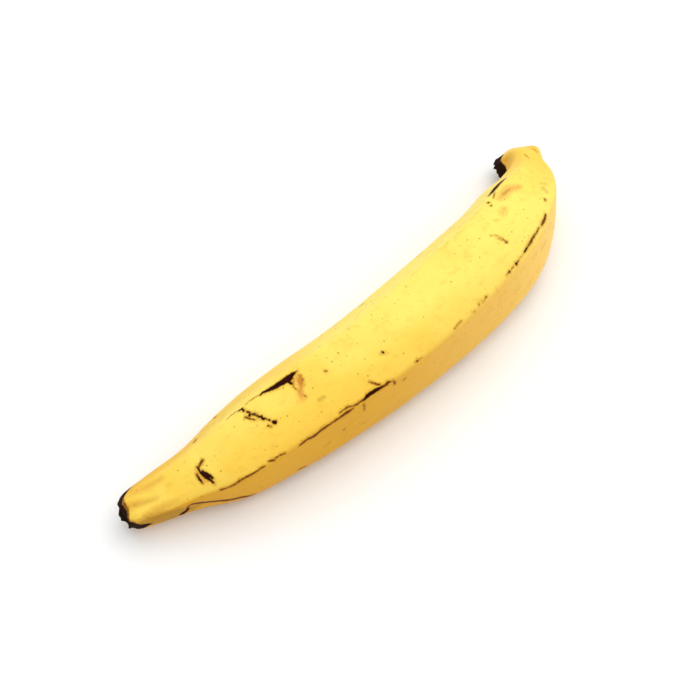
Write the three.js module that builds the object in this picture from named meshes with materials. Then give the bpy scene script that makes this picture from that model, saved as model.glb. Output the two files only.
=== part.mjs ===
// A ripe plantain lying on a surface, in millimetres, +Z up. It runs along X from its cut blossom
// end (-X) to its stem, and its hollow side faces +Y. Neck, body and tip grow as one piece.
import * as THREE from 'three'

// Stations along the fruit, from the blossom end to the stem's cut end. Each one gives the middle
// line's x, y and z, the girth radius, how crisp the ridges are, and the section's turn in degrees.
const STATIONS = [
  { x: -134.0, y: 21.0, z: 12.0, girth: 6.4, crisp: 5, turn: 12 },
  { x: -130.0, y: 19.8, z: 12.5, girth: 9.0, crisp: 5, turn: 11 },
  { x: -119.0, y: 16.2, z: 14.0, girth: 10.8, crisp: 6, turn: 9 },
  { x: -103.0, y: 10.7, z: 16.5, girth: 13.3, crisp: 6, turn: 6 },
  { x: -83.0, y: 4.5, z: 19.0, girth: 18.8, crisp: 7, turn: 3 },
  { x: -53.0, y: -0.5, z: 21.5, girth: 22.0, crisp: 7, turn: 0 },
  { x: -8.0, y: -7.5, z: 22.5, girth: 23.5, crisp: 7, turn: -1 },
  { x: 37.0, y: -10.0, z: 22.5, girth: 24.4, crisp: 7, turn: -4 },
  { x: 77.0, y: -8.5, z: 22.0, girth: 23.4, crisp: 7, turn: -8 },
  { x: 100.0, y: -2.5, z: 21.0, girth: 20.3, crisp: 7, turn: -8 },
  { x: 112.0, y: 1.8, z: 20.5, girth: 16.7, crisp: 7, turn: -5 },
  { x: 120.0, y: 6.5, z: 20.0, girth: 13.4, crisp: 6, turn: -2 },
  { x: 125.6, y: 11.3, z: 19.3, girth: 10.5, crisp: 6, turn: 0 },
  { x: 129.3, y: 16.7, z: 17.5, girth: 8.9, crisp: 6, turn: 0 },
  { x: 130.0, y: 21.7, z: 14.0, girth: 7.5, crisp: 6, turn: 0 },
  { x: 128.0, y: 25.2, z: 10.2, girth: 6.7, crisp: 6, turn: 0 },
  { x: 125.6, y: 27.2, z: 7.2, girth: 6.2, crisp: 6, turn: 0 },
]

// The section's five flat sides: the direction each one faces, in degrees from the top round to
// the -Y side, and its distance from the middle line as a share of the girth radius.
const SIDES = [
  { faces: 16, distance: 0.93 },
  { faces: 89, distance: 0.92 },
  { faces: 168, distance: 0.92 },
  { faces: 241, distance: 0.94 },
  { faces: 310, distance: 0.95 },
]

const BLOSSOM_HOLLOW = 1.4 // depth of the dished scar in the blossom end
const STEPS_A_STATION = 5
const STEPS_AROUND = 56
const RIPE_YELLOW = 0xf0cc4e

const radians = THREE.MathUtils.degToRad

function curveThrough(points) {
  return new THREE.CatmullRomCurve3(points, false, 'catmullrom', 0.5)
}

const middleLine = curveThrough(STATIONS.map((s) => new THREE.Vector3(s.x, s.y, s.z)))
const sectionAlong = curveThrough(STATIONS.map((s) => new THREE.Vector3(s.girth, s.crisp, s.turn)))

// The distance from the middle line to the skin in one direction. Each flat side that the
// direction leans towards adds its share. A higher power lets the nearest side win, which
// sharpens the rounded ridges between them.
function skinRadius(angle, along) {
  const { x: girth, y: crisp, z: turn } = sectionAlong.getPoint(along)
  let share = 0
  for (const side of SIDES) {
    const lean = Math.cos(angle - radians(turn + side.faces))
    if (lean > 0) share += (lean / side.distance) ** crisp
  }
  return girth * share ** (-1 / crisp)
}

// A closed cylinder is bent onto the middle line. Its height runs along the fruit, and its rings
// take the five-sided section, square to the line.
function fruitShape() {
  const rings = STEPS_A_STATION * (STATIONS.length - 1)
  const shape = new THREE.CylinderGeometry(1, 1, 1, STEPS_AROUND, rings)
  const place = shape.attributes.position
  for (let i = 0; i < place.count; i++) {
    const along = THREE.MathUtils.clamp(place.getY(i) + 0.5, 0, 1)
    const angle = Math.atan2(place.getX(i), place.getZ(i))
    const isCapMiddle = place.getX(i) === 0 && place.getZ(i) === 0
    const forward = middleLine.getTangent(along)
    const up = new THREE.Vector3(0, 0, 1).addScaledVector(forward, -forward.z).normalize()
    const side = new THREE.Vector3().crossVectors(forward, up)
    const point = middleLine.getPoint(along)
    if (!isCapMiddle) {
      const radius = skinRadius(angle, along)
      point.addScaledVector(up, radius * Math.cos(angle))
      point.addScaledVector(side, radius * Math.sin(angle))
    } else if (along === 0) {
      point.addScaledVector(forward, BLOSSOM_HOLLOW)
    }
    // The underside is pressed flat where the fruit rests.
    place.setXYZ(i, point.x, point.y, Math.max(point.z, 0))
  }
  // The origin is under the middle of the fruit's box, on the surface that it rests on.
  shape.computeBoundingBox()
  const middle = shape.boundingBox.getCenter(new THREE.Vector3())
  shape.translate(-middle.x, -middle.y, 0)
  shape.computeVertexNormals()
  return shape
}

const peel = new THREE.MeshStandardMaterial({ name: 'peel', color: RIPE_YELLOW, roughness: 0.5 })

const plantain = new THREE.Mesh(fruitShape(), peel)
plantain.name = 'plantain'

const part = new THREE.Group()
part.add(plantain)
export default part
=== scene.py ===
# %% [markdown]
# # A ripe plantain
#
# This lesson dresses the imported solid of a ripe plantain. The solid already has the fruit's size,
# bend and ridges. Here it gets the parts that the eye looks for: torn and dried ends, a waxy
# peel that shifts between lemon and gold, and the dark scars that a fruit collects on its way.

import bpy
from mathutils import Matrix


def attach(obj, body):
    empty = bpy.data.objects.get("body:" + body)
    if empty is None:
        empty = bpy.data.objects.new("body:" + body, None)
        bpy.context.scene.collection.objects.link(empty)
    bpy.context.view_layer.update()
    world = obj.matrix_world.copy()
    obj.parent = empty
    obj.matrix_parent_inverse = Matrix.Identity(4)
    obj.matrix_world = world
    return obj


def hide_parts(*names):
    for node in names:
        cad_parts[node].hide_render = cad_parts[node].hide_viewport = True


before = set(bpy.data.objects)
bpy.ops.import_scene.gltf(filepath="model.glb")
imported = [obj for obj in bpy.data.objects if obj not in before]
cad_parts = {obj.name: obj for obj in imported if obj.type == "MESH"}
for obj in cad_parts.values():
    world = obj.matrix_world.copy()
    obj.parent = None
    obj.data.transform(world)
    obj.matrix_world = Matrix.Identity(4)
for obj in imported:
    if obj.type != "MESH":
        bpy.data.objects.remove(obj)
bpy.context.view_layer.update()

import bpy
import numpy as np
from mathutils import Vector

MM = 0.001  # the fruit is described in millimetres, and Blender's unit here is the metre

# %% [markdown]
# ## The camera
#
# The fruit is seen from above and from the side of its blossom end. A long lens from some way
# off keeps its two ends nearly the same size, as a picture of goods for sale does.

# %% The camera
AZIMUTH = np.radians(-46.2)
ELEVATION = np.radians(60)
CAMERA_DISTANCE = 0.760
LOOKED_AT = Vector((-0.0088, 0.0047, 0.020))

towards_camera = Vector((
    np.sin(AZIMUTH) * np.cos(ELEVATION),
    -np.cos(AZIMUTH) * np.cos(ELEVATION),
    np.sin(ELEVATION),
))
camera = bpy.data.objects.new("camera", bpy.data.cameras.new("camera"))
camera.data.lens = 85
camera.data.sensor_width = 36
camera.location = LOOKED_AT + towards_camera * CAMERA_DISTANCE
camera.rotation_euler = (-towards_camera).to_track_quat("-Z", "Y").to_euler()
bpy.context.scene.collection.objects.link(camera)
bpy.context.scene.camera = camera
print("camera at", tuple(round(v, 3) for v in camera.location))

# %% [markdown]
# ## The fruit's form
#
# A plantain could be modelled by pulling a cylinder about by hand. A loft is steadier: a bent
# middle line, and at each place on it a section with five nearly flat sides. Between its ridges
# the fruit is flat, and its neck and tip narrow smoothly, so a few stations say it all. They are
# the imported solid's own stations, so the finer skin made here lies on that solid.

# %% The stations
# One row each, from the blossom end to the stem: the middle line's x, y and z, the girth radius,
# how crisp the ridges are, and the section's turn in degrees.
STATIONS = np.array([
    (-134.0, 21.0, 12.0, 6.4, 5, 12),
    (-130.0, 19.8, 12.5, 9.0, 5, 11),
    (-119.0, 16.2, 14.0, 10.8, 6, 9),
    (-103.0, 10.7, 16.5, 13.3, 6, 6),
    (-83.0, 4.5, 19.0, 18.8, 7, 3),
    (-53.0, -0.5, 21.5, 22.0, 7, 0),
    (-8.0, -7.5, 22.5, 23.5, 7, -1),
    (37.0, -10.0, 22.5, 24.4, 7, -4),
    (77.0, -8.5, 22.0, 23.4, 7, -8),
    (100.0, -2.5, 21.0, 20.3, 7, -8),
    (112.0, 1.8, 20.5, 16.7, 7, -5),
    (120.0, 6.5, 20.0, 13.4, 6, -2),
    (125.6, 11.3, 19.3, 10.5, 6, 0),
    (129.3, 16.7, 17.5, 8.9, 6, 0),
    (130.0, 21.7, 14.0, 7.5, 6, 0),
    (128.0, 25.2, 10.2, 6.7, 6, 0),
    (125.6, 27.2, 7.2, 6.2, 6, 0),
])
TO_THE_BOX_MIDDLE = np.array([-0.8, 0.2, 0.0])  # moves the middle of the box over the origin
SIDES_FACE = np.radians([16, 89, 168, 241, 310])  # which way each flat side faces, from the top
SIDES_DISTANCE = np.array([0.93, 0.92, 0.92, 0.94, 0.95])  # and how far out, by the girth radius
TOP_RIDGES = np.radians([52, -19])  # the two ridges beside the top face, which are the keenest
KEENER = 6.0  # added to the crispness on those two ridges
KEEN_SPREAD = 9.0  # the larger it is, the narrower the strip that is made crisper
print(len(STATIONS), "stations")


def curve_through(rows, along):
    """The Catmull-Rom curve through the rows at each share of the way from 0 to 1, and its slope.

    Between two rows it is the cubic that meets both, and whose slope at each row is half the
    step from the row before it to the row after it. Beyond each end the next row is mirrored.
    """
    padded = np.vstack([2 * rows[0] - rows[1], rows, 2 * rows[-1] - rows[-2]])
    spans = len(rows) - 1
    place = np.clip(along, 0, 1) * spans
    first = np.minimum(place.astype(int), spans - 1)
    t = (place - first)[..., None]
    before, start, end, after = (padded[first + k] for k in range(4))
    bend = 2 * before - 5 * start + 4 * end - after
    twist = 3 * start - before - 3 * end + after
    point = 0.5 * (2 * start + (end - before) * t + bend * t**2 + twist * t**3)
    slope = 0.5 * ((end - before) + 2 * bend * t + 3 * twist * t**2)
    return point, slope


# %% Distance along the middle line
SHARES = np.linspace(0, 1, 4001)
line_points = curve_through(STATIONS, SHARES)[0][:, :3]
steps = np.linalg.norm(np.diff(line_points, axis=0), axis=1)
DISTANCES = np.concatenate([[0], np.cumsum(steps)])
LENGTH = DISTANCES[-1]
print(f"the middle line is {LENGTH:.1f} mm long")


def girth_at(distance):
    """The girth radius in mm at a distance along the middle line."""
    return curve_through(STATIONS, np.interp(distance, DISTANCES, SHARES))[0][..., 3]


def turn_at(distance):
    """The section's turn in radians at a distance along the middle line."""
    return np.radians(curve_through(STATIONS, np.interp(distance, DISTANCES, SHARES))[0][..., 5])


def frame_at(distance):
    """The middle line's point there, and the unit vectors forward, up and sideways.

    Forward is the slope. Up is the world's up with its share along forward taken off. Sideways
    is forward crossed with up, which is towards -Y in the middle of the fruit.
    """
    row, slope = curve_through(STATIONS, np.interp(distance, DISTANCES, SHARES))
    forward = slope[..., :3] / np.linalg.norm(slope[..., :3], axis=-1, keepdims=True)
    up = np.array([0.0, 0.0, 1.0]) - forward * forward[..., 2:]
    up /= np.linalg.norm(up, axis=-1, keepdims=True)
    return row, forward, up, np.cross(forward, up)


def skin(distance, angle, shrink=1.0, reach=0.0, swell=0.0):
    """Points of the peel, for arrays of the distance along the middle line in mm and the angle.

    Each side of the section adds the cosine of how far the angle leans from it, over its own
    distance, raised to the crispness. The radius is the girth times that sum to the power of
    minus one over the crispness, so the nearest side wins and the ridges stay round. The two top
    ridges are made crisper than the rest, from not at all where the girth radius is 8 mm to all
    of it where it is 18 mm. The radius then grows by swell and is multiplied by shrink, and reach
    moves the point along the middle line.
    The second result is the same point on a fruit that was never bent.
    """
    row, forward, up, side = frame_at(distance)
    girth, turn = row[..., 3], np.radians(row[..., 5])
    keen = np.exp(KEEN_SPREAD * (np.cos((angle - turn)[..., None] - TOP_RIDGES) - 1)).sum(axis=-1)
    crisp = row[..., 4] + KEENER * keen * np.clip((girth - 8) / 10, 0, 1)
    lean = np.cos((angle - turn)[..., None] - SIDES_FACE) / SIDES_DISTANCE
    share = np.sum(np.maximum(lean, 0) ** crisp[..., None], axis=-1)
    radius = (girth * share ** (-1 / crisp) + swell) * shrink
    outward = np.cos(angle)[..., None] * up + np.sin(angle)[..., None] * side
    reach = np.broadcast_to(reach, radius.shape)
    point = row[..., :3] + radius[..., None] * outward + reach[..., None] * forward
    point = point + TO_THE_BOX_MIDDLE
    point[..., 2] = np.maximum(point[..., 2], 0)
    straight = np.stack([distance + reach, radius * np.sin(angle), radius * np.cos(angle)], axis=-1)
    return point, straight


# %% [markdown]
# ## Marks on the peel
#
# Every fruit's scars are its own: tears, rubbed ridges, knocks and blushes. They could be painted
# on a picture, but a list of strokes stays sharp at any size. Each stroke is a path on the peel
# with a half-width at every point. For each vertex the skin stores how far it is from the nearest
# stroke's edge, below zero inside the stroke. A distance blends smoothly between vertices, so the
# material can cut it sharply.

# %% Black strokes
# Each point of a stroke is the distance from the blossom end in mm, the angle from the top
# towards the -Y side in degrees, and the half-width in mm. A half-width below zero leaves only
# the soft edge of the stroke, so it makes a faint line.
STROKES = {}
STROKES["black_mark"] = [
    # The dark triangle and its hook.
    [(76.9, -18.5, 0.28), (78.5, -19, 0.55), (81.1, -16.5, 0.78), (84.4, -15, 1.06),
     (87.2, -14.5, 1.15), (90.5, -14, 1.38), (92.5, -15, 0.9), (93.9, -15, 0.4),
     (95.4, -15, 0.1)],
    [(89.4, -12, 0.69), (89.9, -7.5, 0.46)],
    # The row of small notches.
    [(66, -21, 0.41), (67.4, -20, 0.51), (67.4, -15.5, 0.41)],
    [(68.2, -12, 0.37), (68.4, -10.5, 0.32)],
    [(69, -9.5, 0.32), (68, -7, 0.46)],
    [(69.4, -5.5, 0.37), (70.2, -5, 0.41)],
    [(70.7, -2, 0.37), (70.7, 1, 0.46)],
    [(71.9, 2, 0.32), (71.5, 5, 0.55)],
    [(72.5, 6.5, 0.28), (71.7, 7, 0.37)],
    [(68, -10.5, 0.18), (70, -2.5, 0.18), (72.1, 6, 0.18), (73.8, 13.5, 0.21)],
    [(73.4, 11.5, 0.35), (73.6, 13, 0.3)],
    [(74.3, 16, 0.51), (74.7, 19, 0.74), (75.6, 17, 0.28)],
    [(71.7, 17, 0.41)],
    [(72.5, 20, 0.28)],
    # The three toes of the mark near the blossom end.
    [(37.8, 9, 0.3), (38, 15, 0.4), (38.2, 21, 0.5), (38.6, 26, 0.65), (39.2, 31, 0.8),
     (39.9, 36, 0.75), (40.5, 41, 0.45), (41, 46.8, 0.25)],
    [(39.2, 20, 0.2), (39.6, 24, 0.4), (40.1, 28, 0.55), (40.8, 33, 0.6), (41.6, 38.4, 0.45)],
    [(36.2, 21.2, 0.3), (36.4, 30.8, 0.45), (36.6, 35, 0.45), (36.9, 39.2, 0.3)],
    # The open part of the front ridge's crack, and dots on the top and along the ridge.
    [(112.2, 52.5, 0.37), (113.5, 51, 0.69), (115.1, 50.5, 0.78), (117.7, 50.5, 0.78),
     (120.2, 51, 0.64), (121.8, 51.5, 0.41)],
    [(130.8, 22.5, 0.67)],
    [(132, 26.5, 0.23)],
    [(140.2, 51, 0.4), (141.4, 51, 0.3)],
    [(215.1, 41.5, 0.44), (212.9, 42, 0.28)],
    [(206, 44, 0.69)],
    [(207.2, 43.5, 0.25)],
    [(201, 44.5, 0.37), (200.2, 44.5, 0.28)],
    # The slit beside the stem and the dots below it.
    [(245, -34, 0.4), (241.1, -34.5, 0.85), (236, -34.5, 0.85), (233, -35, 0.4)],
    [(225, -26.5, 0.53)],
    [(223.4, -21, 0.32)],
    # The end of the crack under the tip.
    [(22.4, 117, 1.1), (23.8, 110, 1.1), (25.4, 101, 0.75), (26.3, 88, 0.45)],
]

# %% Brown strokes
STROKES["brown_mark"] = [
    [(41.1, 4.8, 0.5), (40.6, 6, 0.55), (39.9, 6.8, 0.4), (38.7, 11.2, 0.4)],
    # The streak on the ridge below the neck.
    [(234.3, 41.5, 0.3), (231.9, 42.5, 0.5), (229.4, 42, 0.55), (227.5, 42, 0.3)],
    [(225.5, 40.5, 0.2), (223.3, 40.5, 0.25), (220.9, 40, 0.38), (218.8, 40.5, 0.45),
     (217.4, 41, 0.5), (215.9, 41, 0.25)],
    # The brown rim of the slit beside the stem.
    [(247.1, -34, 0.7), (244.4, -34, 1.2), (241.1, -34.5, 1.4), (238, -34.5, 1.5),
     (234.9, -34.5, 1.3), (232, -35, 0.7)],
    [(233.2, -28, 0.1), (231, -26, 0.15), (228.9, -25, 0.0)],
    # The triangle's tail, the notches' shadow and the ring at the triangle's wide end.
    [(76.9, -18.5, 0.1), (74.7, -21, 0.0), (73.4, -21.5, 0.0), (71.9, -22, -0.1),
     (70, -22, -0.2)],
    [(64.9, -24.5, -0.1), (63.2, -24.5, 0.1), (61.9, -25, 0.1), (60.1, -24.5, -0.1)],
    [(66.2, -8, 0.3), (66.6, -6.5, 0.3), (67.4, -3, 0.21), (68.8, 1, 0.18)],
    [(94.2, -14, 0.0), (92.2, -11.5, 0.0), (90.8, -7.5, 0.0), (89.9, -3, 0.1), (90.5, 3, -0.1)],
    [(95.1, -9.5, -0.1), (94.8, -5, 0.1), (93.6, -2, 0.0)],
    [(91.6, 13, 0.37)],
    # The crack along the front ridge, from the blossom end on.
    [(42.4, 61, 0.44), (43.9, 60.5, 0.35), (44.6, 61, 0.23)],
    [(45.4, 60.5, 0.28), (47, 60.5, 0.37), (48.7, 59, 0.35), (50.5, 56.5, 0.48),
     (51.9, 55.5, 0.28), (52.9, 56, 0.35), (54.6, 56, 0.28), (55.8, 56, 0.46),
     (56.7, 55.5, 0.32)],
    [(57.2, 55.5, 0.21), (59.2, 55, 0.23), (61, 55, 0.21)],
    [(63.4, 52.5, 0.35), (64.5, 53.5, 0.39), (65.7, 55, 0.23)],
    [(66.4, 53, 0.18), (68.8, 53.5, 0.23), (70.7, 55, 0.18)],
    [(77.9, 57, 0.32), (80, 56, 0.44), (82.1, 55.5, 0.41), (84.1, 57, 0.6), (86.2, 57.5, 0.69),
     (87.7, 56, 0.44), (89.9, 55, 0.55), (92.2, 55, 0.44), (94.2, 55, 0.35)],
    [(94.2, 55, 0.32), (96.6, 54.5, 0.46), (98.4, 54.5, 0.41), (100.5, 54, 0.46),
     (102.7, 54, 0.64), (104.3, 54, 0.55), (105.9, 54, 0.23)],
    [(99.6, 50, 0.18), (101.5, 49, 0.23), (103.7, 49, 0.28), (105.5, 50, 0.23),
     (107.1, 51.5, 0.28), (109, 52, 0.3), (110.6, 52, 0.32), (112.2, 52, 0.32)],
    [(121.8, 51.5, 0.51), (123.4, 52, 0.55), (124.6, 51.5, 0.67), (125.9, 52, 0.37)],
    [(127.1, 53, 0.23), (127.7, 56.5, 0.35), (127.7, 59.5, 0.28)],
    [(118.3, 40.5, 0.23), (119.3, 43.5, 0.28), (121.2, 48, 0.35)],
    [(111.3, 57, 0.18), (111.6, 62.5, 0.23), (111.3, 68.5, 0.21)],
    [(132.9, 63, 0.55)],
    [(105.5, 2, 0.37)],
    [(100.5, 83.5, 0.39)],
    [(74.9, 116, 0.32), (76.7, 117, 0.44), (78.8, 118.5, 0.3)],
    [(142, 51, 0.1), (143.3, 51, 0.0)],
    [(162.7, 49, -0.1), (164.8, 48, 0.1), (166.3, 47.5, 0.0), (168, 47, -0.1)],
    [(179.5, 47, 0.48)],
    [(181.5, 47, 0.35)],
    [(183, 46.5, 0.21), (184.7, 46, 0.16)],
    [(175.3, 49, 0.28)],
    # The curved scratch and its dot.
    [(208.4, 2, -0.2), (210.1, 5.5, -0.15), (210.8, 10, -0.1), (211.1, 16, 0.0),
     (210.8, 20, 0.1)],
    [(210.8, 21, 0.51)],
    [(209.7, 9, -0.2), (209.9, 13.5, -0.1), (210.1, 17, -0.15)],
    [(275, 32, -0.2), (274.5, 37, 0.0), (273.9, 39.5, -0.1)],
    [(271.1, -10, -0.2), (269.4, -7.5, -0.1), (268.1, -5, -0.2)],
    [(212.9, 42, 0.0), (210, 43, -0.1), (207.2, 43.5, 0.0)],
    [(204.5, 44, -0.15), (202, 44.5, 0.0), (198.8, 45, 0.0)],
    [(243.3, 34, 0.18), (242.4, 35.5, 0.22)],
    # The long thin crack under the tip.
    [(26.5, 80.5, 0.6), (27.9, 76.5, 0.65), (29.3, 78, 0.8), (32.9, 91, 0.85),
     (36.8, 99.5, 0.85), (40, 105, 0.9), (43.1, 111, 0.9), (45.1, 112, 0.8),
     (47.1, 112.5, 0.8), (49.4, 115, 0.7), (51.6, 121, 0.55), (53.7, 121, 0.35)],
    # The line along the blossom end's rim.
    [(2.9, -28.5, 0.28), (2.5, -4.5, 0.28), (2.7, 11, 0.32), (1.9, 26.5, 0.32),
     (0.3, 46.5, 0.37), (0.6, 59, 0.32), (2.4, 63.5, 0.32)],
]

# %% Soft strokes
# Blushes, rust-coloured bruises, ochre on the ridges, the brown patch under the tip, and small
# olive knocks. The ochre list also holds painted shade: on the neck's left side, in the creases
# of the tip, and below the front ridge near the tip.
STROKES["blush"] = [
    [(93.3, -5.5, 2.07), (92.8, -2, 1.61)],
    [(90.8, 5.5, 1.15), (89.9, 13, 1.38)],
    [(231, -18, 1.5), (234, -17, 1.8), (239, -15, 2.0), (242.5, -7, 1.6)],
    [(225.3, -7, 0.92), (222.9, -5, 0.92)],
    [(229.5, -18.5, 0.69)],
    [(210.4, 9, -0.5), (210.5, 15, -0.4)],
    [(37.2, 16, 0.3), (37.5, 32, 0.6), (38.6, 42, 0.4)],
]
STROKES["russet"] = [
    [(95, -12, 0.2), (94.2, -7, 1.3), (93.2, 0, 1.1), (91, 6, 0.6), (90, 13, 0.0)],
    [(77, -18.5, -0.2), (73.5, -21.5, -0.3), (70.5, -22, -0.7)],
    [(64.9, -24.5, -0.4), (60.5, -24.5, -0.3)],
    [(233.5, -17.5, -0.1), (236.5, -16.5, 0.1), (239, -15, -0.3)],
]
STROKES["ochre_and_painted_shade"] = [
    # Painted shade on the left side of the neck, which faces away from the lamp.
    [(288, 5, 1.5), (285, -20, 2.2), (279, -48, 2.6), (271, -72, 2.2), (264, -85, 1.2)],
    [(277, 40, 0.6), (277, 44, 0.4)],
    [(282, 15, -0.7), (275, 30, -0.5), (269, 38, -0.8)],
    # The next two are painted shade in the creases of the tip.
    [(5, -24, 0.2), (11, -18, 1.2), (16, -12, 1.8), (22, -10, 0.6)],
    [(4, 8, 1.6), (8, 14, 1.4), (12, 22, 0.8), (16, 26, 0.2)],
    [(7, -46, 1.0), (13, -62, 0.8), (22, -60, 0.3)],
    # Painted shade below the front ridge near the tip.
    [(5, 66, 0.6), (9, 60, 1.8), (13, 54, 2.0), (18, 50, 1.2), (24, 50, 0.0)],
]
STROKES["umber"] = [
    [(3, 68, 1.0), (9, 76, 3.6), (14, 92, 5.6), (20, 98, 5.6), (27, 100, 3.0), (35, 96, -0.5)],
]
STROKES["olive"] = [
    [(95.7, 26.5, 0.81), (98.1, 26.5, 0.69)],
    [(90.2, 96.5, 0.69), (92.5, 92.5, 0.58)],
    [(234.1, -17, 0.6), (237.3, -15, 0.46)],
    [(216.6, -6.5, 0.25), (217.8, -4.5, 0.2)],
    [(249.5, 29, 0.46), (247.9, 34, 0.46)],
    [(251.7, 23, 0.23), (252.8, 33, 0.23)],
    [(236.5, 62, 0.5), (234, 63.5, 0.5)],
    [(235.2, 73.5, 0.4)],
    [(227.5, 69, 0.2), (225.3, 68.5, 0.4), (223, 68.5, 0.2)],
    [(6.4, 12.8, 0.5)],
]


# %% Scars of the sides and the underside
def chance_strokes(seed, count, angle_range, drift, lengths, widths):
    """Seeded strokes along the fruit: each a wavy path of five points with tapered ends."""
    chance = np.random.default_rng(seed)
    begin = chance.uniform(30, LENGTH - 45, count)
    length = chance.uniform(*lengths, count)
    angle = chance.uniform(*angle_range, count)
    width = chance.uniform(*widths, count)
    share = np.linspace(0, 1, 5)
    along = begin[:, None] + share * length[:, None]
    round_it = angle[:, None] + drift * np.cumsum(chance.normal(0, 1, (count, 5)), axis=1)
    half = width[:, None] * np.sin(np.pi * (0.1 + 0.8 * share))
    return [list(zip(*rows)) for rows in zip(along, round_it, half)]


# Most of them lie within two degrees of the three ridges that face down and away.
for seed, ridge in enumerate((129, 206, -84)):
    near = (ridge - 2, ridge + 2)
    STROKES["brown_mark"] += chance_strokes(seed, 16, near, 0.7, (2, 16), (0.3, 0.7))
    STROKES["black_mark"] += chance_strokes(seed + 10, 4, near, 0.6, (3, 12), (0.4, 1.0))
STROKES["brown_mark"] += chance_strokes(20, 30, (125, 315), 1.5, (0.3, 4), (0.3, 0.6))
STROKES["blush"] += chance_strokes(21, 8, (125, 300), 2.0, (2, 7), (0.8, 2.0))
print({name: len(strokes) for name, strokes in STROKES.items()}, "strokes")


# %% The distance to a stroke
FAR_OFF = 50.0  # mm, further than any stroke's soft edge reaches


def distance_to_strokes(distance, angle, strokes):
    """How far each place of the unrolled peel is from the nearest stroke's edge, in mm.

    The unrolled peel has the distance along the fruit for x. For y it has the angle from the
    stroke's first point, the short way round, times the girth. On each straight length of a
    path the nearest point is found by projecting the place on it, and the half-width there,
    blended between its ends, is taken off the distance.
    """
    nearest = np.full(distance.shape, FAR_OFF)
    girth = girth_at(distance)
    for stroke in strokes:
        path = np.array(stroke, float)
        begin = np.radians(path[0, 1])
        from_begin = (angle - begin + np.pi) % (2 * np.pi) - np.pi
        place = np.stack([distance, from_begin * girth], axis=-1)
        round_it = (np.radians(path[:, 1]) - begin) * girth_at(path[:, 0])
        corners = np.column_stack([path[:, 0], round_it])
        ends = zip(corners, np.roll(corners, -1, axis=0), path[:, 2], np.roll(path[:, 2], -1))
        for start, end, start_width, end_width in list(ends)[:max(1, len(path) - 1)]:
            step = end - start
            share = np.clip((place - start) @ step / max(step @ step, 1e-9), 0, 1)
            away = np.linalg.norm(place - start - share[..., None] * step, axis=-1)
            nearest = np.minimum(nearest, away - start_width - share * (end_width - start_width))
    return nearest


# %% [markdown]
# ## The skin's mesh
#
# A real fruit ends in a dished, dried scar where its flower was, and in a torn stub where it was
# broken from the bunch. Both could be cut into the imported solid, but its faces are too large to
# fray. So one sheet of four-sided faces is rolled round the middle line, and it is fine only where
# there is something to show. Its rows start in the middle of the blossom scar, come out over its
# lip, run along the fruit, and go in again over the torn edge of the stem. The edges of both ends
# are ragged, so each line of the sheet starts and stops at a distance of its own.

# %% Smooth random bumps
def soft_noise(place, size, seed):
    """Smooth bumps between -1 and 1: random heights at the corners of cubes of that size.

    Inside a cube the eight heights are blended with the ease curve 3t^2 - 2t^3 along each axis.
    """
    wrap = 32
    heights = np.random.default_rng(seed).uniform(-1, 1, (wrap, wrap, wrap))
    cell = place / size
    corner = np.floor(cell).astype(int)
    ease = (cell - corner) ** 2 * (3 - 2 * (cell - corner))
    total = np.zeros(place.shape[:-1])
    for step in np.ndindex(2, 2, 2):
        weight = np.prod(np.where(step, ease, 1 - ease), axis=-1)
        i, j, k = np.moveaxis((corner + step) % wrap, -1, 0)
        total += weight * heights[i, j, k]
    return total


# %% The rows and the columns
# Fine where the listed marks are, and coarser elsewhere: a place, and the spacing there. Rows
# are in mm from the blossom end, columns in degrees from the top.
ROW_SPACING = np.array([
    (0, 0.5), (12, 0.6), (20, 0.7), (46, 0.7), (48, 1.3), (57, 1.3), (59, 0.62), (128, 0.62),
    (131, 1.6), (197, 1.6), (200, 0.62), (254, 0.62), (257, 1.0), (LENGTH - 12, 0.6), (LENGTH, 0.5),
])
COLUMN_SPACING = np.array([
    (-180, 3.8), (-75, 3.6), (-50, 1.6), (-38, 0.8), (72, 0.8), (90, 1.5), (125, 2.2), (180, 3.8),
])


def spaced(table):
    """Places from the table's first to its last, as far apart as the table says.

    The integral of one over the spacing counts the places, and they lie where that count takes
    equal steps.
    """
    fine = np.linspace(table[0, 0], table[-1, 0], 20001)
    spacing = np.interp((fine[1:] + fine[:-1]) / 2, *table.T)
    count = np.concatenate([[0], np.cumsum(np.diff(fine) / spacing)])
    return np.interp(np.linspace(0, count[-1], int(count[-1]) + 2), count, fine)


row_distance = spaced(ROW_SPACING)
angles = np.radians(spaced(COLUMN_SPACING)[:-1])  # the last one is the first again
print(len(row_distance), "rows and", len(angles), "columns")

# %% The ragged ends
END_LENGTH = 12.0  # mm over which the rows follow the ragged edge
# The blossom scar's lip, as the mm that it stands back at an angle: lobes with a notch between.
BLOSSOM_LIP = np.array([
    (-180, -0.8), (-166, -2.2), (-145, -1.9), (-115, -0.4), (-60, 0.4), (-30, 0.6), (0, 0.4),
    (25, 0.7), (45, 0.9), (60, 0.3), (90, 0.1), (115, -0.5), (137, -0.8), (155, 0.2), (168, 0.0),
    (180, -0.8),
])
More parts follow.
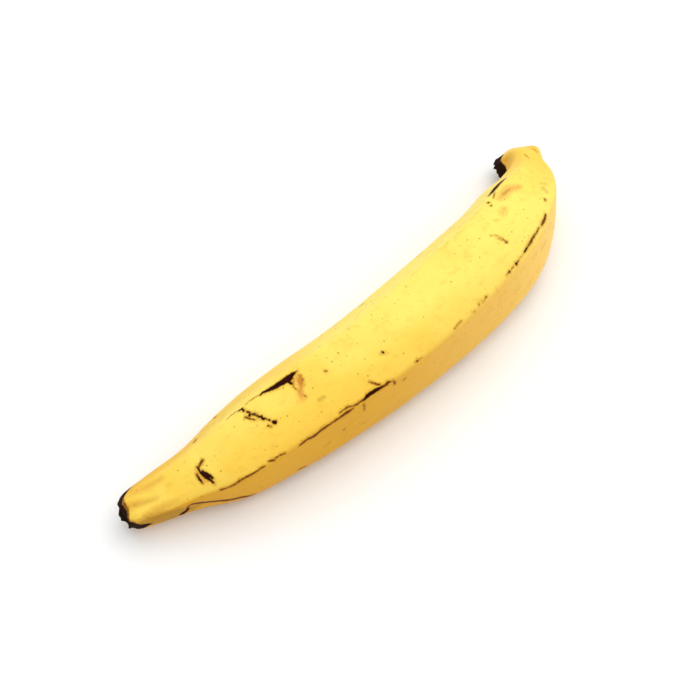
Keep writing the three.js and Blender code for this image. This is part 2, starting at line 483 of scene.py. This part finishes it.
# The caps, from the lip to the middle: the share of the radius, and how far the row stands out
# from the edge, in mm.
BLOSSOM_CAP = np.array([
    (0.98, 0.35), (0.93, 0.6), (0.87, 0.6), (0.81, 0.2), (0.76, -0.8), (0.72, -1.8), (0.65, -2.4),
    (0.55, -2.4), (0.46, -1.9), (0.38, -1.2), (0.3, -0.9), (0.2, -0.8), (0.1, -0.8), (0.0, -0.8),
])
STEM_CAP = np.array([
    (1.0, 0.6), (0.98, 1.2), (0.94, 1.8), (0.88, 2.2), (0.82, 2.1), (0.76, 1.4), (0.68, 0.9),
    (0.58, 0.9), (0.48, 1.3), (0.38, 1.5), (0.28, 1.2), (0.18, 1.0), (0.09, 1.0), (0.0, 1.0),
])
round_the_end = np.stack([0 * angles, 8 * np.sin(angles), 8 * np.cos(angles)], axis=-1)
blossom_edge = np.interp(np.degrees(angles), *BLOSSOM_LIP.T)
blossom_edge += 0.35 * soft_noise(round_the_end, 1.7, 2)
# The stem broke off 1.6 mm shorter on one side, and its torn lip is higher in some places.
broken_shorter = 1.6 * np.exp(-((np.degrees(angles) + 48) / 25) ** 2)
stem_edge = 0.4 + 0.5 * soft_noise(round_the_end, 4.0, 3) + broken_shorter
torn = 0.75 + 0.7 * soft_noise(round_the_end, 3.0, 4) + 0.4 * soft_noise(round_the_end, 1.3, 5)
print("the stem breaks off", stem_edge.min().round(1), "to", stem_edge.max().round(1), "mm short")

# %% The sheet
shrink = np.concatenate([BLOSSOM_CAP[::-1, 0], np.ones(len(row_distance)), STEM_CAP[:, 0]])
nominal = np.concatenate([
    np.zeros(len(BLOSSOM_CAP)), row_distance, np.full(len(STEM_CAP), LENGTH)])
reach = np.concatenate([-BLOSSOM_CAP[::-1, 1], np.zeros(len(row_distance)), STEM_CAP[:, 1]])
near_blossom = np.clip(1 - nominal / END_LENGTH, 0, 1) * shrink
near_stem = np.clip(1 - (LENGTH - nominal) / END_LENGTH, 0, 1) * shrink
ragged = nominal[:, None] + near_blossom[:, None] * blossom_edge - near_stem[:, None] * stem_edge
distance = np.clip(ragged, 0, LENGTH)
angle = np.broadcast_to(angles, distance.shape)
shrink = np.broadcast_to(shrink[:, None], distance.shape)
reach = reach[:, None] * np.where(nominal[:, None] < LENGTH, 1, torn * shrink + (1 - shrink))
reach = reach + ragged - distance  # what lies beyond the middle line's ends
_, straight = skin(distance, angle, shrink, reach)
print("the sheet has", distance.shape, "points")

# %% Where the marks are
BLEED = 0.08  # mm by which the dead peel is wider than the tear that made it
STAIN = 0.3  # mm by which the golden stain round it is wider again
fields = {name: distance_to_strokes(distance, angle, strokes) for name, strokes in STROKES.items()}
fields["black_mark"] -= BLEED
fields["brown_mark"] -= BLEED
fields["stained"] = np.minimum(fields["black_mark"], fields["brown_mark"]) - STAIN

# The dried rim of each end reaches further on some sides: the angle in degrees, and there the
# reach in mm.
DRIED_BLOSSOM = np.array([
    (-180, 2), (-120, 4.0), (-90, 7.5), (-70, 8.8), (-60, 8.2), (-48, 5.8), (-30, 2.6), (-17, 1.8),
    (11, 2.0), (26, 1.4), (46, 0.4), (57, 0.6), (62, 2.2), (77, 5.0), (89, 8.2), (104, 9.4),
    (114, 6.5), (140, 1.5), (180, 2),
])
DRIED_STEM = np.array([
    (-180, 5), (-120, 4), (-75, 2.5), (-66, 5.5), (-56, 6.4), (-32, 5.6), (-9, 4.2), (8, 5.2),
    (30, 4.6), (70, 5.6), (120, 4.4), (180, 5),
])
degrees = np.degrees(angle)
fields["dried"] = np.maximum(
    np.interp(degrees, *DRIED_BLOSSOM.T) - distance,
    np.interp(degrees, *DRIED_STEM.T) - (LENGTH - distance))
inside_cap = (shrink < 1) | (reach != 0)  # both caps are dried all over
fields["dried"] = np.where(inside_cap, np.maximum(fields["dried"], 1.0), fields["dried"])
print({name: round(float((values < 0).mean()), 4) for name, values in fields.items()}, "below zero")


# %% Swells and dents
def ease_between(values, low, high):
    """0 below low, 1 above high, and the ease curve 3t^2 - 2t^3 between them."""
    t = np.clip((values - low) / (high - low), 0, 1)
    return t * t * (3 - 2 * t)


# Knuckles and hollows: the distance and angle of each middle, its height, length and width in mm.
KNUCKLES = [
    (276, 53, 1.4, 2.0, 2.2), (270, 56, -1.3, 4.0, 3.5), (281, 45, -0.5, 3.5, 4.0),
    (289, 50, -1.0, 4.0, 4.0),
]
# Creases run along the shrunken tip. Each is a path like a stroke's, with its depth for a width.
CREASE_WIDTH = 1.5  # mm from a crease's middle to where it is a third as deep
CREASES = [
    [(4, -22, 0.0), (7, -27, 0.6), (13, -19, 0.7), (21, -11, 0.4), (32, -8, 0.0)],
    [(2, 5, 0.2), (7, 22, 0.7), (13, 27, 0.6), (20, 29, 0.3), (30, 30, 0.0)],
    [(3, 62, 0.2), (10, 68, 0.6), (18, 74, 0.5), (28, 80, 0.0)],
    [(3, 150, 0.2), (12, 152, 0.7), (30, 156, 0.0)],
    [(3, -100, 0.2), (12, -98, 0.7), (30, -90, 0.0)],
]

# Swells 11 mm across and finer ones fade on the neck, which is tight over its knuckles.
swell = 0.25 * soft_noise(straight * [0.35, 1, 1], 11.0, 6) + 0.12 * soft_noise(straight, 4.5, 7)
swell *= 1 - 0.7 * ease_between(distance, 240, 265)
for middle, at_angle, height, length, width in KNUCKLES:
    off_angle = np.radians((degrees - at_angle + 180) % 360 - 180) * girth_at(distance)
    swell += height * np.exp(-((distance - middle) / length) ** 2 - (off_angle / width) ** 2)
for crease in CREASES:
    path = np.array(crease)
    away = distance_to_strokes(distance, angle, [path * [1, 1, 0]])
    swell -= np.interp(distance, path[:, 0], path[:, 2]) * np.exp(-(away / CREASE_WIDTH) ** 2)
# Dead peel has sunk by up to 0.15 mm, and the dried ends are rough.
swell -= 0.15 * np.clip(-fields["black_mark"], 0, 1)
swell += 0.25 * ease_between(fields["dried"], -0.5, 2) * soft_noise(straight * [0.4, 1, 1], 0.9, 9)
point, straight = skin(distance, angle, shrink, reach, swell)
print(f"the peel swells by {swell.min():.1f} to {swell.max():.1f} mm")

# %% [markdown]
# ## Golden sides and painted shade
#
# The top face of this fruit is the palest. The sides and the blossom end are a deeper gold,
# partly the peel's own colour and partly painted shade where the sides face away from the lamp.
# The far top face, and the middle of the top towards the front ridge, get a little painted shade
# too. This could be brushed on by hand. A short table along the fruit and a few ease curves round
# it say the same, and they keep the change of colour on the ridges, where the real one is. The
# skin stores the result as shares from 0 to 1.

# %% How golden and how shaded each place is
# The distance from the blossom end in mm, and there how warm the top is, and how deep the gold
# and painted shade of the sides are.
WARMTH_AND_SHADED_DEPTH = np.array([
    (0, 1.0, 1.0), (25, 0.9, 1.0), (40, 0.4, 0.95), (65, 0.35, 0.9), (88, 0.65, 0.9),
    (105, 0.6, 0.9), (130, 0.3, 0.8), (160, 0.1, 0.6), (198, 0.05, 0.4), (218, 0.25, 0.2),
    (240, 0.1, 0.1), (256, 0.15, 0.1), (265, 0.8, 0.15), (292, 1.0, 0.3),
])
warmth_and_shade = np.interp(distance, WARMTH_AND_SHADED_DEPTH[:, 0], WARMTH_AND_SHADED_DEPTH[:, 1])
gold_and_shade_depth = np.interp(distance, WARMTH_AND_SHADED_DEPTH[:, 0], WARMTH_AND_SHADED_DEPTH[:, 2])
from_turn = np.degrees(angle - turn_at(distance))
# In its middle part the top is warmer towards the ridge at 52 degrees. This is painted shade,
# darker towards the side that faces away from the lamp.
middle_part = np.exp(-((distance - 120) / 75) ** 4)
warmth_and_shade = np.clip(warmth_and_shade + middle_part * (0.7 * ease_between(from_turn, 2, 36) - 0.08), 0, 1)
# Gold begins at the ridges, and a little of it reaches over them. It is partly the peel's own
# gold and partly painted shade on the sides that face away from the lamp. The far side, between
# its two ridges, has only a share of it, also partly painted shade, and the most near the
# blossom end.
gold_and_painted_shade = 0.72 * ease_between(from_turn, 49, 58) + 0.28 * ease_between(from_turn, 22, 54)
far_gold_and_shade = 0.4 - 0.3 * ease_between(distance, 60, 95)
gold_and_painted_shade += far_gold_and_shade * (1 - ease_between(from_turn, -60, -25))
gold_and_painted_shade += (1 - far_gold_and_shade) * (1 - ease_between(from_turn, -125, -90))
print("golden share of the peel:", round(float(gold_and_painted_shade.mean()), 2))


# %% The mesh
def closed_sheet(name, rows):
    """A mesh from rows of points round a form, closed at the first and the last row.

    Each four-sided face joins a point, the next one round, and the two above them. The first
    and the last row have shrunk to a single point each, which a fan of triangles closes.
    """
    row_count, around_count = rows.shape[:2]
    points = np.concatenate([rows[:1, 0], rows[1:-1].reshape(-1, 3), rows[-1:, 0]])
    ring = np.arange(around_count)
    after = (ring + 1) % around_count
    first = 1 + around_count * np.arange(row_count - 3)[:, None]
    last = 1 + around_count * (row_count - 3)
    quads = np.stack([
        first + ring, first + after, first + around_count + after, first + around_count + ring,
    ], axis=-1).reshape(-1, 4)
    start_fan = np.stack([np.zeros_like(ring), 1 + after, 1 + ring], axis=-1)
    end_fan = np.stack([np.full_like(ring, len(points) - 1), last + ring, last + after], axis=-1)
    mesh = bpy.data.meshes.new(name)
    mesh.from_pydata(points.tolist(), [], start_fan.tolist() + quads.tolist() + end_fan.tolist())
    mesh.update()
    return mesh


def store(mesh, name, values):
    """Keeps a number or a vector for each vertex, in the order of closed_sheet's vertices."""
    middle = values[1:-1].reshape((-1,) + values.shape[2:])
    flat = np.concatenate([values[:1, 0], middle, values[-1:, 0]])
    kind, field = ("FLOAT", "value") if values.ndim == 2 else ("FLOAT_VECTOR", "vector")
    stored = mesh.attributes.new(name, kind, "POINT")
    stored.data.foreach_set(field, flat.astype(np.float32).ravel())


skin_mesh = closed_sheet("plantain_skin", point * MM)
shares = {"gold_and_painted_shade": gold_and_painted_shade, "warmth_and_shade": warmth_and_shade, "gold_and_shade_depth": gold_and_shade_depth, "straight": straight}
for name, values in {**fields, **shares}.items():
    store(skin_mesh, name, values)
skin_mesh.shade_smooth()
plantain = bpy.data.objects.new("plantain_skin", skin_mesh)
bpy.context.scene.collection.objects.link(plantain)
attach(plantain, "root")
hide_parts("plantain")
print("the skin has", sum(len(f.vertices) - 2 for f in skin_mesh.polygons), "triangles")


# %% [markdown]
# ## Torn fibres
#
# Where the fruit was broken from its bunch, the stem dries to a dark stub with loose fibres. A
# hair system could grow them, but a few dozen plain tubes are lighter and stay the same anywhere.
# Each fibre is a thin tube on a curved path. All of them are worked out together as one array.

# %% The fibres
POINTS_ALONG = 8
POINTS_ROUND = 5


def fibres(name, seed, count, at, lengths, thicknesses, spread):
    """A mesh of thin tapered tubes that stand out of the stem's end, from a distance along it.

    A path is its foot, plus a length along its own direction, plus a bend that grows with the
    square of the way along. Round the path runs a ring of points, and its radius shrinks to a
    tenth at the tip.
    """
    chance = np.random.default_rng(seed)
    angle = chance.uniform(-np.pi, np.pi, count)
    share = chance.uniform(0.35, 0.97, count)  # of the radius, where its foot is
    foot, _ = skin(np.full(count, float(at)), angle, share)
    _, forward, up, side = frame_at(np.full(count, float(at)))
    away = np.cos(angle)[:, None] * up + np.sin(angle)[:, None] * side
    direction = forward + spread * chance.uniform(-0.3, 1, (count, 1)) * away
    direction += 0.35 * spread * chance.normal(0, 1, (count, 3))
    direction /= np.linalg.norm(direction, axis=1, keepdims=True)
    length = chance.uniform(*lengths, count)
    bend = 0.3 * length[:, None] * chance.normal(0, 1, (count, 3))
    t = np.linspace(0, 1, POINTS_ALONG)
    path = (
        foot[:, None] + (length[:, None] * t)[..., None] * direction[:, None]
        + bend[:, None] * (t**2)[:, None])
    across = np.cross(direction, chance.normal(0, 1, (count, 3)))
    across /= np.linalg.norm(across, axis=1, keepdims=True)
    other = np.cross(direction, across)
    turn = 2 * np.pi * np.arange(POINTS_ROUND) / POINTS_ROUND
    radius = chance.uniform(*thicknesses, count)[:, None] / 2 * (1 - 0.9 * t**1.5)
    ring = (
        np.cos(turn)[:, None] * across[:, None, None]
        + np.sin(turn)[:, None] * other[:, None, None])
    points = path[:, :, None] + radius[:, :, None, None] * ring
    points[..., 2] = np.maximum(points[..., 2], 0.1)  # none goes into the floor
    number = np.arange(count * POINTS_ALONG * POINTS_ROUND)
    number = number.reshape(count, POINTS_ALONG, POINTS_ROUND)
    after = np.roll(number, -1, 2)
    quads = np.stack([number[:, :-1], after[:, :-1], after[:, 1:], number[:, 1:]], axis=-1)
    caps = number[:, 0, ::-1].tolist() + number[:, -1].tolist()
    mesh = bpy.data.meshes.new(name)
    faces = quads.reshape(-1, 4).tolist() + caps
    mesh.from_pydata((points.reshape(-1, 3) * MM).tolist(), [], faces)
    mesh.shade_smooth()
    made = bpy.data.objects.new(name, mesh)
    bpy.context.scene.collection.objects.link(made)
    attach(made, "root")
    return made


stem_fibres = fibres("stem_fibres", 5, 36, LENGTH - 0.8, (0.8, 2.4), (0.25, 0.7), 0.35)
print("the fibres have", len(stem_fibres.data.polygons), "faces")

# %% [markdown]
# ## The peel
#
# A ripe peel is a leathery skin under a thin natural wax, so it is satin, not glossy. Its colour
# isn't even. It drifts between lemon and gold over a few centimetres, has faint streaks along
# the fruit, and freckles. Scars are corky and dull, and nearly black where the peel died. All of
# this could be one painted picture. Nodes are used, because their patterns have real sizes, stay
# sharp up close and need no picture. Each layer is laid over the ones before it, as the fruit
# got them: first the peel's own colours with painted shade on its sides, then the scars, and
# last the dried ends.

# %% Colours and nodes
def colour(hex_code):
    """An sRGB hex colour as the linear values that a shader needs."""
    srgb = np.array([int(hex_code[i:i + 2], 16) for i in (1, 3, 5)]) / 255
    linear = np.where(srgb <= 0.04045, srgb / 12.92, ((srgb + 0.055) / 1.055) ** 2.4)
    return (*linear.tolist(), 1.0)


def add(tree, kind, inputs=None, **settings):
    """Adds a node with its settings. Each input is a value, or the output that feeds it."""
    node = tree.nodes.new("ShaderNode" + kind)
    for name, value in settings.items():
        setattr(node, name, value)
    for socket, value in (inputs or {}).items():
        if isinstance(value, bpy.types.NodeSocket):
            tree.links.new(value, node.inputs[socket])
        else:
            node.inputs[socket].default_value = value
    return node


FACTOR, FIRST, SECOND, MIXED = 0, 6, 7, 2  # the sockets of a Mix node that mixes colours
PER_MM = 1 / MM  # Object coordinates are in metres

# %% The waxy peel
peel = bpy.data.materials.new("waxy_ripe_plantain_peel")
peel.use_nodes = True
tree = peel.node_tree
tree.nodes.clear()
unbent = add(tree, "Attribute", attribute_name="straight").outputs["Vector"]
place = add(tree, "TexCoord").outputs["Object"]

# On the top, lemon drifts to gold in patches about 30 mm across, and leans to gold where it is
# warm, which includes painted shade towards the front ridge. The sides take a gold of their own,
# with painted shade in it, which is deeper towards the blossom end.
drift = add(tree, "TexNoise", {"Vector": unbent, "Scale": 1 / 30, "Detail": 3.0})
gold_and_painted_shade_here = add(tree, "Attribute", attribute_name="gold_and_painted_shade").outputs["Fac"]
warmth_and_shade_here = add(tree, "Attribute", attribute_name="warmth_and_shade").outputs["Fac"]
drifted = add(tree, "MapRange", {"Value": drift.outputs["Fac"], "From Min": 0.35, "From Max": 0.65,
                                 "To Min": -0.3, "To Max": 0.3}, clamp=False)
lemon_to_gold = add(tree, "Math", {0: warmth_and_shade_here, 1: drifted.outputs[0]}, operation="ADD",
                    use_clamp=True)
pale = add(tree, "Mix", {FACTOR: lemon_to_gold.outputs[0], FIRST: colour("#F7E56C"),
                         SECOND: colour("#F8CE50")}, data_type="RGBA")
gold_and_shade_depth_here = add(tree, "Attribute", attribute_name="gold_and_shade_depth").outputs["Fac"]
gold = add(tree, "Mix", {FACTOR: gold_and_shade_depth_here, FIRST: colour("#FFD46C"), SECOND: colour("#D59A12")},
           data_type="RGBA")
tone = add(tree, "Mix", {FACTOR: gold_and_painted_shade_here, FIRST: pale.outputs[MIXED],
                         SECOND: gold.outputs[MIXED]}, data_type="RGBA").outputs[MIXED]

# Faint streaks: 2 mm wide and ten times as long.
lengthwise = add(tree, "Mapping", {"Vector": unbent, "Scale": (0.05, 0.5, 0.5)}).outputs["Vector"]
streaks = add(tree, "TexNoise", {"Vector": lengthwise, "Scale": 1.0, "Detail": 4.0,
                                 "Roughness": 0.6})
streaked = add(tree, "MapRange", {"Value": streaks.outputs["Fac"], "From Min": 0.45,
                                  "From Max": 0.75, "To Max": 0.12})
tone = add(tree, "Mix", {FACTOR: streaked.outputs[0], FIRST: tone, SECOND: colour("#EDBB45")},
           data_type="RGBA").outputs[MIXED]

# Faint olive smudges, 5 mm across and ragged.
clouds = add(tree, "TexNoise", {"Vector": unbent, "Scale": 0.2, "Detail": 6.0, "Roughness": 0.7})
smudged = add(tree, "MapRange", {"Value": clouds.outputs["Fac"], "From Min": 0.52, "From Max": 0.78,
                                 "To Max": 0.4})
tone = add(tree, "Mix", {FACTOR: smudged.outputs[0], FIRST: tone, SECOND: colour("#C99A35")},
           data_type="RGBA").outputs[MIXED]

# Freckles: each cell 2.4 mm across holds a ball of its own size, and the peel cuts through some.
cells = add(tree, "TexVoronoi", {"Vector": place, "Scale": PER_MM / 2.4})
kinds = add(tree, "SeparateColor", {"Color": cells.outputs["Color"]})
ball_size = add(tree, "Math", {0: kinds.outputs["Red"], 1: 0.26, 2: -0.08},
                operation="MULTIPLY_ADD")
freckle = add(tree, "Math", {0: ball_size.outputs[0], 1: cells.outputs["Distance"]},
              operation="SUBTRACT")
freckled = add(tree, "MapRange", {"Value": freckle.outputs[0], "From Min": -0.05, "From Max": 0.08,
                                  "To Max": 0.75})
tone = add(tree, "Mix", {FACTOR: freckled.outputs[0], FIRST: tone, SECOND: colour("#96691E")},
           data_type="RGBA").outputs[MIXED]
print("nodes for the sound peel's colour:", len(tree.nodes))

# %% Scars
# Each kind of mark: the attribute, its colour, how soft its edge is and how much the edge is
# frayed, both in mm, and how far it covers the peel. The pale, soft kinds come first, and the
# black of dead peel comes last, on top of all the others.
MARKS = [
    # The ochre kind also paints shade: on the neck's left side, in the creases of the tip and below
    # the front ridge near the tip.
    ("ochre_and_painted_shade", "#D9A03A", 2.0, 1.0, 0.8),
    ("umber", "#9A721C", 1.8, 1.5, 0.65),
    ("blush", "#E9A04A", 1.6, 1.6, 0.75),
    ("olive", "#A8842E", 1.0, 1.0, 0.6),
    ("russet", "#B4680A", 1.0, 1.0, 0.65),
    ("stained", "#BA7600", 0.8, 1.2, 0.85),
    ("brown_mark", "#5E2600", 0.30, 0.4, 0.95),
    ("black_mark", "#2C0700", 0.22, 0.3, 1.0),
]
fray = add(tree, "TexNoise", {"Vector": place, "Scale": PER_MM / 1.3, "Detail": 4.0})  # 1.3 mm
for name, code, soft, ragged, cover in MARKS:
    field = add(tree, "Attribute", attribute_name=name).outputs["Fac"]
    frayed = add(tree, "Math", {0: fray.outputs["Fac"], 1: 2 * ragged, 2: -ragged},
                 operation="MULTIPLY_ADD")
    edge = add(tree, "Math", {0: field, 1: frayed.outputs[0]}, operation="ADD")
    covered = add(tree, "MapRange", {"Value": edge.outputs[0], "From Min": soft, "From Max": -soft,
                                     "To Max": cover})
    tone = add(tree, "Mix", {FACTOR: covered.outputs[0], FIRST: tone, SECOND: colour(code)},
               data_type="RGBA").outputs[MIXED]
dead_peel = covered.outputs[0]  # where the last kind, the black, covers the peel
print(len(MARKS), "kinds of marks")

# %% Dried ends
# The dried peel is a brown band with dark bark beyond it, whose grain is 0.4 mm wide and 4 mm
# long. Both edges are frayed by up to 1.2 mm.
dried_field = add(tree, "Attribute", attribute_name="dried").outputs["Fac"]
frayed = add(tree, "Math", {0: fray.outputs["Fac"], 1: 2.4, 2: -1.2}, operation="MULTIPLY_ADD")
dried_edge = add(tree, "Math", {0: dried_field, 1: frayed.outputs[0]}, operation="ADD")
browned = add(tree, "MapRange", {"Value": dried_edge.outputs[0], "From Min": -0.9, "From Max": 0.0})
dried = add(tree, "MapRange", {"Value": dried_edge.outputs[0], "From Min": -0.1, "From Max": 0.4})
grain = add(tree, "TexNoise", {"Vector": lengthwise, "Scale": 5.0, "Detail": 5.0, "Roughness": 0.7})
bark = add(tree, "Mix", {FACTOR: grain.outputs["Fac"], FIRST: colour("#0A0201"),
                         SECOND: colour("#301A0E")}, data_type="RGBA")
tone = add(tree, "Mix", {FACTOR: browned.outputs[0], FIRST: tone, SECOND: colour("#8A5A1E")},
           data_type="RGBA").outputs[MIXED]
tone = add(tree, "Mix", {FACTOR: dried.outputs[0], FIRST: tone, SECOND: bark.outputs[MIXED]},
           data_type="RGBA").outputs[MIXED]

# %% Wax and relief
# Wax has an index of about 1.4. Its sheen is kept weak, as it is on the fruit, because white
# surroundings would otherwise turn the dark scars grey. Real pores are about 0.1 mm wide. They
# are drawn 0.8 mm wide, so that they show.
dullness = add(tree, "Math", {0: dried.outputs[0], 1: dead_peel}, operation="MAXIMUM")
roughness = add(tree, "MapRange", {"Value": dullness.outputs[0], "To Min": 0.46, "To Max": 0.85})
pores = add(tree, "TexNoise", {"Vector": place, "Scale": PER_MM / 0.8, "Detail": 3.0})
fine = add(tree, "Bump", {"Height": pores.outputs["Fac"], "Strength": 0.25, "Distance": 0.06 * MM})
long_relief = add(tree, "Bump", {"Height": streaks.outputs["Fac"], "Strength": 0.5,
                                 "Distance": 0.15 * MM, "Normal": fine.outputs["Normal"]})
surface = add(tree, "BsdfPrincipled", {
    "Base Color": tone, "Roughness": roughness.outputs[0], "IOR": 1.4, "Specular IOR Level": 0.12,
    "Normal": long_relief.outputs["Normal"],
})
add(tree, "OutputMaterial", {"Surface": surface.outputs["BSDF"]})
skin_mesh.materials.append(peel)
print("nodes in the whole peel:", len(tree.nodes))

# %% Dried fibre
# Dead, dry plant fibre is dull and dark brown, in lighter and darker patches 1.5 mm across.
fibre = bpy.data.materials.new("dried_plantain_fibre")
fibre.use_nodes = True
tree = fibre.node_tree
tree.nodes.clear()
place = add(tree, "TexCoord").outputs["Object"]
patches = add(tree, "TexNoise", {"Vector": place, "Scale": PER_MM / 1.5, "Detail": 3.0})
shade = add(tree, "Mix", {FACTOR: patches.outputs["Fac"], FIRST: colour("#120805"),
                          SECOND: colour("#5A3D28")}, data_type="RGBA")
surface = add(tree, "BsdfPrincipled", {"Base Color": shade.outputs[MIXED], "Roughness": 0.85})
add(tree, "OutputMaterial", {"Surface": surface.outputs["BSDF"]})
stem_fibres.data.materials.append(fibre)
print("nodes in the dried fibre:", len(tree.nodes))

# %% [markdown]
# ## Floor and light
#
# The fruit lies on white paper under one broad lamp, high up and a little towards the stem, with
# soft light from all round. The top face then shines evenly, and the near side is in soft shade.
# A plain square would do for the floor, but a low view would see past its edge.

# %% The floor
# The paper is round, and its rim is swept up, so that a low view meets white paper too. One row
# each from the middle out: the radius and the height, in metres.
SWEEP = np.array([(2.0, 0.0), (2.4, 0.03), (2.8, 0.13), (3.1, 0.3), (3.3, 0.55), (3.4, 0.9)])
AROUND = 40
turns = 2 * np.pi * np.arange(AROUND) / AROUND
rings = np.stack([
    SWEEP[:, :1] * np.cos(turns), SWEEP[:, :1] * np.sin(turns), SWEEP[:, 1:] + 0 * turns], axis=-1)
number = np.arange(len(SWEEP) * AROUND).reshape(len(SWEEP), AROUND)
after = np.roll(number, -1, axis=1)
swept_up = np.stack([number[1:], after[1:], after[:-1], number[:-1]], axis=-1).reshape(-1, 4)
floor_mesh = bpy.data.meshes.new("floor")
floor_mesh.from_pydata(rings.reshape(-1, 3).tolist(), [], [number[0].tolist()] + swept_up.tolist())
floor_mesh.shade_smooth()
floor = bpy.data.objects.new("floor", floor_mesh)
bpy.context.scene.collection.objects.link(floor)
paper = bpy.data.materials.new("white_backdrop_paper")
paper.use_nodes = True
tree = paper.node_tree
tree.nodes.clear()
surface = add(tree, "BsdfPrincipled", {"Base Color": colour("#FAFAF9"), "Roughness": 0.9})
add(tree, "OutputMaterial", {"Surface": surface.outputs["BSDF"]})
floor_mesh.materials.append(paper)
print("the paper has", len(floor_mesh.polygons), "faces")

# %% The light
ROOM_STRENGTH = 0.67
LAMP_STRENGTH = 1.6
world = bpy.data.worlds.new("soft_white_room")
world.use_nodes = True
world.node_tree.nodes["Background"].inputs["Color"].default_value = (1, 1, 1, 1)
world.node_tree.nodes["Background"].inputs["Strength"].default_value = ROOM_STRENGTH
bpy.context.scene.world = world

lamp = bpy.data.lights.new("broad_lamp", "SUN")
lamp.energy = LAMP_STRENGTH
lamp.angle = np.radians(80)
holder = bpy.data.objects.new("broad_lamp", lamp)
holder.rotation_euler = Vector((0.4, 0.0, 1.0)).to_track_quat("Z", "Y").to_euler()
bpy.context.scene.collection.objects.link(holder)
bpy.context.scene.view_settings.view_transform = "Standard"
print("lamp strength", LAMP_STRENGTH, "and room strength", ROOM_STRENGTH)
